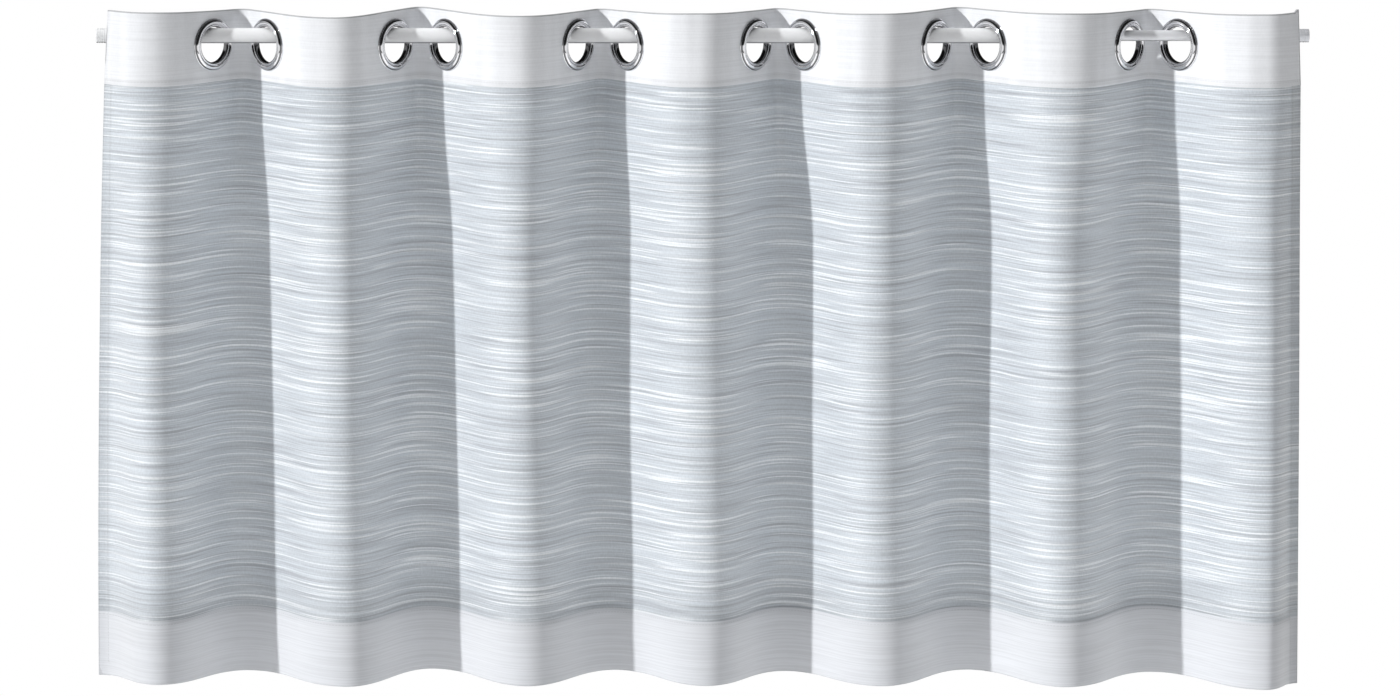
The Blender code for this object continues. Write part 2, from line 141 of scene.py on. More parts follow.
# Places along the rod of the two eyelets beside each valley.
EYELET_PAIRS = (
    (103.4, 153.4),
    (265.9, 313.2),
    (428.9, 475.0),
    (587.8, 632.5),
    (748.7, 797.3),
    (921.3, 967.5),
)


@dataclass(frozen=True)
class Flank:
    """The cloth from a ridge to a valley: its held slope, and the run of each of its stretches."""

    slope: float
    crest: float
    rise: float
    hold: float
    sink: float

    @property
    def width(self) -> float:
        """Distance along the rod from the ridge to the valley."""
        return self.crest + self.rise + self.hold + self.sink

    def depth(self, distance: float) -> float:
        """Return how far the cloth has sunk behind its ridge.

        Args:
            distance: distance along the rod from the ridge.

        Returns:
            The depth, in the distance's own unit.
        """
        into_rise = min(max(distance - self.crest, 0.0), self.rise)
        into_hold = min(max(distance - self.crest - self.rise, 0.0), self.hold)
        into_sink = max(distance - self.crest - self.rise - self.hold, 0.0)
        depth = self.slope * (into_rise * into_rise / (2.0 * self.rise) + into_hold)
        return depth + self.slope * (into_sink - into_sink * into_sink / (2.0 * self.sink))


@dataclass(frozen=True)
class Stretch:
    """The cloth between two neighbouring turning points, read from left to right."""

    left: Fold
    right: Fold
    flank: Flank

    @property
    def from_ridge(self) -> bool:
        """Tell whether the stretch starts at its ridge."""
        return self.left.turn is Turn.RIDGE

    @property
    def has_eyelet(self) -> bool:
        """Tell whether the stretch carries an eyelet."""
        return Turn.EDGE not in (self.left.turn, self.right.turn)


@dataclass
class Drape:
    """The shape in which the whole curtain hangs.

    The heading keeps stiff folds whose flanks are straight where an eyelet grips them. Below the
    seam they relax into soft ones.
    """

    seam_z: float = -41.4
    hem_top_z: float = -527.5
    foot_z: float = -587.5
    mid_z: float = -250.0
    soft_z: float = -190.0
    flat_half: float = 23.7
    eyelet_z: float = -8.0
    ripple: float = 0.55
    stretches: list[Stretch] = field(default_factory=list)

    SOFT = Flank(slope=1.0, crest=0.0, rise=0.44, hold=0.12, sink=0.44)
    EDGE_SHARES = (0.75, 0.15, 0.10)
    NORMAL_SPAN = 0.004
    FIRST_SLOPE = 1.2
    SLOPE_ROUNDS = 40

    def __post_init__(self) -> None:
        """Join each pair of neighbouring turning points by its flank."""
        for left, right in zip(FOLDS, FOLDS[1:]):
            ridge, other = (left, right) if left.turn is Turn.RIDGE else (right, left)
            flank = self.edge_flank(ridge, other) if other.turn is Turn.EDGE else self.heading_flank(ridge, other)
            self.stretches.append(Stretch(left, right, flank))

    def eyelet_x(self, ridge: Fold, valley: Fold) -> float:
        """Return the place along the rod of the eyelet between a ridge and a valley."""
        pair = EYELET_PAIRS[(FOLDS.index(valley) - 2) // 2]
        return pair[0] if ridge.head_x < valley.head_x else pair[1]

    def heading_flank(self, ridge: Fold, valley: Fold) -> Flank:
        """Work out the flank whose straight stretch carries its eyelet on the rod's axis.

        Args:
            ridge: the fold nearer the viewer.
            valley: the fold behind the rod.

        Returns:
            The flank, from the ridge.
        """
        to_eyelet = abs(valley.head_x - self.eyelet_x(ridge, valley))
        slope = self.FIRST_SLOPE
        for _ in range(self.SLOPE_ROUNDS):
            half_hold = self.flat_half / math.hypot(1.0, slope)
            slope = 2.0 * valley.head_y / (to_eyelet + half_hold)
        hold = 2.0 * half_hold
        sink = to_eyelet - half_hold
        rise = 2.0 * ((valley.head_y - ridge.head_y) / slope - hold - sink / 2.0)
        crest = abs(valley.head_x - ridge.head_x) - rise - hold - sink
        return Flank(slope, max(crest, 0.0), rise, hold, sink)

    def edge_flank(self, ridge: Fold, edge: Fold) -> Flank:
        """Return the half fold between a side edge and the ridge beside it."""
        width = abs(edge.head_x - ridge.head_x)
        rise, hold, sink = (share * width for share in self.EDGE_SHARES)
        return Flank((edge.head_y - ridge.head_y) / (rise / 2.0 + hold + sink / 2.0), 0.0, rise, hold, sink)

    def fold_place(self, fold: Fold, height: float) -> tuple[float, float]:
        """Return a fold's distance along the rod and its depth at one height.

        Args:
            fold: the turning point.
            height: height above the rod's axis.

        Returns:
            The distance along the rod and the depth behind its axis.
        """
        if height >= self.seam_z:
            upward = (height - self.seam_z) / (fold.top_z - self.seam_z)
            return fold.head_x + fold.lean * upward, fold.head_y
        share = (height - self.seam_z) / (self.foot_z - self.seam_z)
        mid = (self.mid_z - self.seam_z) / (self.foot_z - self.seam_z)
        along = (share - mid) * (share - 1.0) / mid * fold.head_x
        along += share * (share - 1.0) / (mid * (mid - 1.0)) * fold.mid_x
        along += share * (share - mid) / (1.0 - mid) * fold.foot_x
        return along, fold.head_y + (fold.foot_y - fold.head_y) * share

    def ripple_depth(self, along: float, height: float) -> float:
        """Return the small unevenness of the soft cloth, which dies away toward the heading."""
        softness = smooth_step((self.seam_z - height) / (self.seam_z - self.soft_z))
        wave = math.sin(along / 23.0 + 1.3 * math.sin(height / 71.0))
        wave += 0.8 * math.sin(along / 37.0 - height / 90.0 + 2.0)
        wave += 0.5 * math.sin(along / 11.0 + height / 53.0)
        return self.ripple * softness * wave

    def place(self, stretch: Stretch, share: float, height: float) -> tuple[float, float]:
        """Return the cloth's mid surface in plan.

        Args:
            stretch: the cloth between two turning points.
            share: 0 at the stretch's left end and 1 at its right end.
            height: height above the rod's axis.

        Returns:
            The distance along the rod and the depth behind its axis.
        """
        left_x, left_y = self.fold_place(stretch.left, height)
        right_x, right_y = self.fold_place(stretch.right, height)
        from_ridge = share if stretch.from_ridge else 1.0 - share
        ridge_y, other_y = (left_y, right_y) if stretch.from_ridge else (right_y, left_y)
        flank = stretch.flank
        stiff = flank.depth(from_ridge * flank.width) / flank.depth(flank.width)
        soft = self.SOFT.depth(from_ridge) / self.SOFT.depth(1.0)
        stiffness = 1.0 - smooth_step((self.seam_z - height) / (self.seam_z - self.soft_z))
        blend = stiffness * stiff + (1.0 - stiffness) * soft
        along = left_x + (right_x - left_x) * share
        return along, ridge_y + (other_y - ridge_y) * blend + self.ripple_depth(along, height)

    def normal(self, stretch: Stretch, share: float, height: float) -> tuple[float, float]:
        """Return the cloth's unit normal in plan, toward the viewer."""
        x0, y0 = self.place(stretch, max(share - self.NORMAL_SPAN, 0.0), height)
        x1, y1 = self.place(stretch, min(share + self.NORMAL_SPAN, 1.0), height)
        run = math.hypot(x1 - x0, y1 - y0)
        return (y1 - y0) / run, -(x1 - x0) / run

    def arc(self, stretch: Stretch, height: float, steps: int = 60) -> float:
        """Return the cloth's length along one stretch at one height."""
        places = [self.place(stretch, i / steps, height) for i in range(steps + 1)]
        return sum(math.dist(a, b) for a, b in zip(places, places[1:]))

    def edge_z(self, stretch: Stretch, share: float, which: str) -> float:
        """Return the height of the cloth's top_z or foot_z edge along a stretch."""
        low = getattr(stretch.left, which)
        high = getattr(stretch.right, which)
        return low + (high - low) * smooth_step(share)


def link_piece(name: str, mesh: bpy.types.Mesh, material: bpy.types.Material) -> bpy.types.Object:
    """Put a mesh in the scene as a piece that rides on the part.

    Args:
        name: the piece's name.
        mesh: its mesh.
        material: its finish.

    Returns:
        The new object.
    """
    piece = bpy.data.objects.new(name, mesh)
    bpy.context.scene.collection.objects.link(piece)
    mesh.materials.append(material)
    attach(piece, BODY)
    return piece


@dataclass
class SheetBuilder:
    """Collects a cloth's mid surface and closes it into a thin solid."""

    drape: Drape
    points: list[Point] = field(default_factory=list)
    normals: list[tuple[float, float]] = field(default_factory=list)
    halves: list[float] = field(default_factory=list)
    lengths: list[float] = field(default_factory=list)
    margins: list[float] = field(default_factory=list)
    faces: list[Sequence[int]] = field(default_factory=list)

    CREASE = math.radians(50.0)

    def add(self, stretch: Stretch, share: float, height: float, half: float, length: float, margin: float) -> int:
        """Add one point of the mid surface.

        Args:
            stretch: the cloth between two turning points.
            share: place along the stretch, from 0 to 1.
            height: height above the rod's axis.
            half: half the cloth's thickness there.
            length: distance along the cloth from its left edge.
            margin: distance from the cloth's nearest free edge.

        Returns:
            The point's number.
        """
        x, y = self.drape.place(stretch, share, height)
        self.points.append((x, y, height))
        self.normals.append(self.drape.normal(stretch, share, height))
        self.halves.append(half)
        self.lengths.append(length)
        self.margins.append(margin)
        return len(self.points) - 1

    def mesh(self, name: str) -> bpy.types.Mesh:
        """Return the closed solid as a smooth mesh with cloth coordinates.

        Args:
            name: the mesh's name.

        Returns:
            The mesh, in metres.
        """
        centre = np.array(self.points)
        offset = np.zeros_like(centre)
        offset[:, :2] = np.array(self.normals) * np.array(self.halves)[:, None]
        count = len(centre)
        faces = [tuple(face) for face in self.faces]
        faces += [tuple(count + corner for corner in reversed(face)) for face in self.faces]
        edges = {(face[i], face[(i + 1) % len(face)]) for face in self.faces for i in range(len(face))}
        for start, end in sorted(edges):
            if (end, start) not in edges:
                faces.append((end, start, count + start, count + end))
        mesh = bpy.data.meshes.new(name)
        mesh.from_pydata((np.vstack((centre + offset, centre - offset)) * MM).tolist(), [], faces)
        layer = mesh.attributes.new(CLOTH_COORDINATES, "FLOAT_VECTOR", "POINT")
        one_side = np.column_stack((self.lengths, centre[:, 2], self.margins)) * MM
        layer.data.foreach_set("vector", np.vstack((one_side, one_side)).astype(np.float32).ravel())
        mesh.shade_smooth()
        mesh.set_sharp_from_angle(angle=self.CREASE)
        return mesh


@dataclass
class ClothEdge:
    """The rounded lip of a folded cloth edge: insets and how full the cloth is at each."""

    insets: tuple[float, ...] = (0.0, 0.12, 0.42, 1.0)
    fullness: tuple[float, ...] = (0.30, 0.66, 0.90, 1.0)


@dataclass
class Heading:
    """The doubled plain strip along the top, with its twelve eyelet holes."""

    drape: Drape
    material: bpy.types.Material
    half: float = 1.1
    column_step: float = 2.6
    hole_radius: float = 18.0
    middle_rows: int = 24
    window_columns: int = 20
    window_layers: int = 6
    window_margin: float = 10.0
    nub_width: float = 2.4
    nub_height: float = 2.4
    edge: ClothEdge = field(default_factory=ClothEdge)

    def rows(self, top: float) -> list[tuple[float, float]]:
        """Return the heights of a column's points and half the cloth's thickness at each.

        Args:
            top: height of the cloth's top edge in that column.

        Returns:
            Pairs of height and half thickness, from the top down.
        """
        bottom = self.drape.seam_z
        rows = [(top - i, self.half * f) for i, f in zip(self.edge.insets, self.edge.fullness)]
        upper, lower = top - self.edge.insets[-1], bottom + self.edge.insets[-1]
        for step in range(1, self.middle_rows):
            rows.append((upper + (lower - upper) * step / self.middle_rows, self.half))
        rows += [(bottom + i, self.half * f) for i, f in zip(self.edge.insets[::-1], self.edge.fullness[::-1])]
        return rows

    def columns(self) -> list[tuple[Stretch, float, bool]]:
        """Return the strip's columns: stretch, share, and whether a window starts there."""
        columns: list[tuple[Stretch, float, bool]] = []
        for stretch in self.drape.stretches:
            spans = self.spans(stretch)
            for start, end, is_window in spans:
                arc = self.drape.arc(stretch, self.drape.eyelet_z) * (end - start)
                steps = self.window_columns if is_window else max(2, round(arc / self.column_step))
                for i in range(steps):
                    columns.append((stretch, start + (end - start) * i / steps, is_window and i == 0))
        columns.append((self.drape.stretches[-1], 1.0, False))
        return columns

    def spans(self, stretch: Stretch) -> list[tuple[float, float, bool]]:
        """Split a stretch at its eyelet's window: start share, end share, is a window."""
        if not stretch.has_eyelet:
            return [(0.0, 1.0, False)]
        flank = stretch.flank
        start = (flank.crest + flank.rise) / flank.width
        end = start + flank.hold / flank.width
        if not stretch.from_ridge:
            start, end = 1.0 - end, 1.0 - start
        return [(0.0, start, False), (start, end, True), (end, 1.0, False)]

    def build(self) -> bpy.types.Object:
        """Returns:
            The finished piece.
        """
        sheet = SheetBuilder(self.drape)
        columns = self.columns()
        edge_rows = len(self.edge.insets)
        row_count = self.middle_rows + 2 * edge_rows - 1
        grid: dict[tuple[int, int], int] = {}
        lengths = self.column_lengths(columns)
        windows = [index for index, column in enumerate(columns) if column[2]]
        inside = {w + i for w in windows for i in range(1, self.window_columns)}
        covered = {w + i for w in windows for i in range(self.window_columns)}
        first_row, last_row = edge_rows - 1, row_count - edge_rows
        for index, (stretch, share, _) in enumerate(columns):
            top = self.drape.edge_z(stretch, share, "top_z") + self.nub_rise(lengths[-1] - lengths[index])
            for row, (height, half) in enumerate(self.rows(top)):
                if index in inside and first_row < row < last_row:
                    continue
                grid[index, row] = sheet.add(stretch, share, height, half, lengths[index], min(top - height, lengths[-1] - lengths[index]))
        for index in range(len(columns) - 1):
            for row in range(row_count - 1):
                if index in covered and first_row <= row < last_row:
                    continue
                corners = ((index, row), (index, row + 1), (index + 1, row + 1), (index + 1, row))
                sheet.faces.append([grid[corner] for corner in corners])
        for window in windows:
            self.add_window(sheet, grid, window, columns, lengths, (first_row, last_row))
        piece = link_piece("heading_cloth", sheet.mesh("heading_cloth"), self.material)
        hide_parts("heading")
        LOG.info("heading: %d columns, %d windows", len(columns), len(windows))
        return piece

    def nub_rise(self, from_end: float) -> float:
        """Return how far the folded corner at the right end stands above the top edge."""
        return self.nub_height * smooth_step(1.0 - (from_end - self.nub_width) / self.nub_width)

    def column_lengths(self, columns: list[tuple[Stretch, float, bool]]) -> list[float]:
        """Return each column's distance along the cloth from its left edge."""
        height = self.drape.seam_z
        places = [self.drape.place(stretch, share, height) for stretch, share, _ in columns]
        steps = [math.dist(a, b) for a, b in zip(places, places[1:])]
        return [0.0, *np.cumsum(steps).tolist()]

    def add_window(
        self,
        sheet: SheetBuilder,
        grid: dict[tuple[int, int], int],
        window: int,
        columns: list[tuple[Stretch, float, bool]],
        lengths: list[float],
        rows: tuple[int, int],
    ) -> None:
        """Fill one straight stretch with rings of faces that close in on its eyelet's hole.

        Args:
            sheet: the cloth's points and faces.
            grid: point numbers by column and row.
            window: the window's first column.
            columns: the strip's columns.
            lengths: each column's distance along the cloth.
            rows: the window's first and last row.
        """
        last = window + self.window_columns
        stretch, start = columns[window][0], columns[window][1]
        end = columns[last][1] or 1.0
        first_row, last_row = rows
        loop = [(window, row) for row in range(first_row, last_row)]
        loop += [(column, last_row) for column in range(window, last)]
        loop += [(last, row) for row in range(last_row, first_row, -1)]
        loop += [(column, first_row) for column in range(last, window, -1)]
        span = lengths[last] - lengths[window]
        outer = [grid[corner] for corner in loop]
        places = [
            ((column - window) / self.window_columns * span - span / 2, sheet.points[number][2])
            for (column, _), number in zip(loop, outer)
        ]
        for layer in range(1, self.window_layers + 1):
            inward = layer / self.window_layers
            ring = []
            for across, height in places:
                angle = math.atan2(height - self.drape.eyelet_z, across)
                hole_across = self.hole_radius * math.cos(angle)
                hole_height = self.drape.eyelet_z + self.hole_radius * math.sin(angle)
                here = across + (hole_across - across) * inward
                share = start + (end - start) * (here / span + 0.5)
                level = height + (hole_height - height) * inward
                length = lengths[window] + here + span / 2
                ring.append(sheet.add(stretch, share, level, self.half, length, self.window_margin))
            for i in range(len(ring)):
                after = (i + 1) % len(ring)
                sheet.faces.append((outer[i], outer[after], ring[after], ring[i]))
            outer = ring


@dataclass
class BodyPanel:
    """The streaked body, with a deep plain bottom hem and narrow side hems."""

    drape: Drape
    streaked: bpy.types.Material
    plain: bpy.types.Material
    half: float = 0.6
    hem_half: float = 1.0
    side_hem: float = 10.0
    hem_step: float = 0.5
    tuck: float = 3.0
    column_step: float = 4.0
    row_step: float = 6.5
    edge: ClothEdge = field(default_factory=ClothEdge)

    def columns(self) -> tuple[list[tuple[Stretch, float]], list[float]]:
        """Return the panel's columns and each one's distance along the cloth."""
        height = self.drape.mid_z
        columns: list[tuple[Stretch, float]] = []
        for stretch in self.drape.stretches:
            steps = max(4, round(self.drape.arc(stretch, height) / self.column_step))
            columns += [(stretch, i / steps) for i in range(steps)]
        columns.append((self.drape.stretches[-1], 1.0))
        columns = self.with_side_columns(columns)
        places = [self.drape.place(stretch, share, height) for stretch, share in columns]
        steps = [math.dist(a, b) for a, b in zip(places, places[1:])]
        return columns, [0.0, *np.cumsum(steps).tolist()]

    def with_side_columns(self, columns: list[tuple[Stretch, float]]) -> list[tuple[Stretch, float]]:
        """Add the columns that round the side edges and step down from the side hems."""
        first, last = self.drape.stretches[0], self.drape.stretches[-1]
        extra = [*self.edge.insets[1:], self.side_hem, self.side_hem + self.hem_step]
        left_arc = self.drape.arc(first, self.drape.mid_z)
        right_arc = self.drape.arc(last, self.drape.mid_z)
        left = [(first, inset / left_arc) for inset in extra]
        right = [(last, 1.0 - inset / right_arc) for inset in extra]
        merged = [column for column in columns if not self.too_near(column, left + right)] + left + right
        order = {id(stretch): index for index, stretch in enumerate(self.drape.stretches)}
        return sorted(merged, key=lambda column: (order[id(column[0])], column[1]))

    def too_near(self, column: tuple[Stretch, float], others: Iterable[tuple[Stretch, float]]) -> bool:
        """Tell whether an even column crowds one of the side columns."""
        ends = (0.0, 1.0)
        closest = min((abs(column[1] - share) for stretch, share in others if stretch is column[0]), default=1.0)
        return closest < 0.02 and column[1] not in ends

    def rows(self, foot: float) -> list[tuple[float, float]]:
        """Return the heights of a column's points and half the cloth's thickness at each.

        Args:
            foot: height of the cloth's bottom edge in that column.

        Returns:
            Pairs of height and half thickness, from the top down.
        """
        top, hem = self.drape.seam_z + self.tuck, self.drape.hem_top_z
        body_steps = round((top - hem) / self.row_step)
        rows = [(top + (hem - top) * i / body_steps, self.half) for i in range(body_steps + 1)]
        rows.append((hem - self.hem_step, self.hem_half))
        lower = foot + self.edge.insets[-1]
        hem_steps = round((hem - self.drape.foot_z) / self.row_step)
        start = hem - self.hem_step
        rows += [(start + (lower - start) * i / hem_steps, self.hem_half) for i in range(1, hem_steps)]
        folded = zip(self.edge.insets[::-1], self.edge.fullness[::-1])
        return rows + [(foot + inset, self.hem_half * fullness) for inset, fullness in folded]

    def side_half(self, half: float, from_side: float) -> float:
        """Return half the thickness near a side edge, where the cloth is folded and rounded."""
        if from_side > self.side_hem + self.hem_step / 2:
            return half
        fullness = float(np.interp(from_side, self.edge.insets, self.edge.fullness))
        return max(half, self.hem_half) * fullness

    def build(self) -> bpy.types.Object:
        """Returns:
            The finished piece.
        """
        sheet = SheetBuilder(self.drape)
        columns, lengths = self.columns()
        width = lengths[-1]
        row_count = 0
        for (stretch, share), length in zip(columns, lengths):
            foot = self.drape.edge_z(stretch, share, "foot_z")
            rows = self.rows(foot)
            row_count = len(rows)
            from_side = min(length, width - length)
            for height, half in rows:
                margin = min(height - foot, from_side)
                sheet.add(stretch, share, height, self.side_half(half, from_side), length, margin)
        for column in range(len(columns) - 1):
            for row in range(row_count - 1):
                corner = column * row_count + row
                sheet.faces.append((corner, corner + 1, corner + row_count + 1, corner + row_count))
        mesh = sheet.mesh("body_cloth")
        piece = link_piece("body_cloth", mesh, self.streaked)
        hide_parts("panel")
        LOG.info("body: %d columns of %d rows, %.0f mm wide when flat", len(columns), row_count, width)
        return piece


class Graph:
    """A material's node tree, with one call for each kind of node that the finishes use."""

    def __init__(self, name: str) -> None:
        """Start a material of its own."""
        self.material = bpy.data.materials.new(name)
        self.material.use_nodes = True
        self.tree = self.material.node_tree
        self.shader = self.tree.nodes["Principled BSDF"]

    def node(self, kind: str, **settings: object) -> bpy.types.Node:
        """Add a node and set its properties."""
        made = self.tree.nodes.new(kind)
        for key, value in settings.items():
            setattr(made, key, value)
        return made

    def link(self, source: bpy.types.NodeSocket, target: bpy.types.NodeSocket) -> None:
        """Join two sockets."""
        self.tree.links.new(source, target)

    def feed(self, socket: bpy.types.NodeSocket, value: object) -> None:
        """Link a socket's source, or set its constant."""
        if isinstance(value, bpy.types.NodeSocket):
            self.link(value, socket)
        else:
            socket.default_value = value

    def math(self, operation: str, first: object, second: object = 0.0, clamp: bool = False) -> bpy.types.NodeSocket:
        """Return the result of a Math node."""
        made = self.node("ShaderNodeMath", operation=operation, use_clamp=clamp)
        self.feed(made.inputs[0], first)
        self.feed(made.inputs[1], second)
        return made.outputs[0]

    def attribute(self, name: str) -> bpy.types.NodeSocket:
        """Return a mesh attribute's vector."""
        return self.node("ShaderNodeAttribute", attribute_name=name).outputs["Vector"]

    def mapped(self, vector: bpy.types.NodeSocket, scale: Point, offset: Point = (0.0, 0.0, 0.0)) -> bpy.types.NodeSocket:
        """Return a vector scaled and moved."""
        made = self.node("ShaderNodeMapping")
        self.link(vector, made.inputs["Vector"])
        made.inputs["Scale"].default_value = scale
        made.inputs["Location"].default_value = offset
        return made.outputs["Vector"]

    def noise(self, vector: bpy.types.NodeSocket, scale: float = 1.0, detail: float = 2.0, roughness: float = 0.5) -> bpy.types.NodeSocket:
        """Return a Noise texture's value."""
        made = self.node("ShaderNodeTexNoise", noise_dimensions="3D")
        self.link(vector, made.inputs["Vector"])
        made.inputs["Scale"].default_value = scale
        made.inputs["Detail"].default_value = detail
        made.inputs["Roughness"].default_value = roughness
        return made.outputs[0]

    def window(self, value: bpy.types.NodeSocket, low: float, high: float, to_low: float = 0.0, to_high: float = 1.0) -> bpy.types.NodeSocket:
        """Return a value eased from one range to another, and clamped."""
        made = self.node("ShaderNodeMapRange", interpolation_type="SMOOTHSTEP")
        self.link(value, made.inputs["Value"])
        made.inputs["From Min"].default_value = low
        made.inputs["From Max"].default_value = high
        made.inputs["To Min"].default_value = to_low
        made.inputs["To Max"].default_value = to_high
        return made.outputs[0]

    def mix(self, factor: object, first: object, second: object) -> bpy.types.NodeSocket:
        """Return one colour mixed into another."""
        made = self.node("ShaderNodeMix", data_type="RGBA")
        self.feed(made.inputs[0], factor)
        for socket, value in ((made.inputs[6], first), (made.inputs[7], second)):
            self.feed(socket, (*value, 1.0) if isinstance(value, tuple) else value)
        return made.outputs[2]

    def part(self, vector: bpy.types.NodeSocket, axis: str) -> bpy.types.NodeSocket:
        """Return one component of a vector."""
        made = self.node("ShaderNodeSeparateXYZ")
        self.link(vector, made.inputs[0])
        return made.outputs[axis]

    def stitches(self, level: bpy.types.NodeSocket, along: bpy.types.NodeSocket) -> bpy.types.NodeSocket:
        """Return 1 on a row of stitches.

        Args:
            level: distance from the row's line, in metres, on either side.
            along: distance along the row.

        Returns:
            The share of thread.
        """
        off = self.math("ABSOLUTE", level)
        line = self.window(off, 0.0002, 0.0005, 1.0, 0.0)
        step = self.math("ABSOLUTE", self.math("SUBTRACT", self.math("FRACT", self.math("MULTIPLY", along, 330.0)), 0.5))
        return self.math("MULTIPLY", line, self.window(step, 0.32, 0.42, 1.0, 0.0))

    def scaled(self, colour: object, share: bpy.types.NodeSocket) -> bpy.types.NodeSocket:
        """Return a colour times a share."""
        made = self.node("ShaderNodeVectorMath", operation="SCALE")
        self.feed(made.inputs[0], colour)
        self.link(share, made.inputs["Scale"])
        return made.outputs[0]

    def bump(self, height: bpy.types.NodeSocket, strength: float, distance: float) -> None:
        """Drive the shader's normal from a height."""
        made = self.node("ShaderNodeBump")
        made.inputs["Strength"].default_value = strength
        made.inputs["Distance"].default_value = distance
        self.link(height, made.inputs["Height"])
        self.link(made.outputs["Normal"], self.shader.inputs["Normal"])

    def constants(self, **values: float) -> None:
        """Set constants on the shader's own sockets."""
        for key, value in values.items():
            self.shader.inputs[key.replace("_", " ")].default_value = value


@dataclass(frozen=True)
class PaintedClothShade:
    """Painted shade on the cloth: darker toward its foot, where the light falls off, and a fine painted shade line
    along its free edges.
    """

    top: float = 0.0
    foot: float = -0.59
    foot_share: float = 0.93
    line_width: float = 0.0008
    line_fade: float = 0.0006
    line_share: float = 0.55

    def factor(self, graph: Graph, height: bpy.types.NodeSocket, margin: bpy.types.NodeSocket) -> bpy.types.NodeSocket:
        """Return the share of the cloth's colour that is left after the painted shade.

        Args:
            graph: the material.
            height: the cloth's height, in metres.
            margin: the distance from its nearest free edge.

        Returns:
            The share.
        """
        # Painted shade: darker toward the foot, where the light falls off.
        drop = graph.window(height, self.foot, self.top, self.foot_share, 1.0)
        # Painted shade: a fine dark line along the free edges, where the folded edge is in shade.
        line = graph.window(margin, self.line_width, self.line_width + self.line_fade, self.line_share, 1.0)
        return graph.math("MULTIPLY", drop, line)


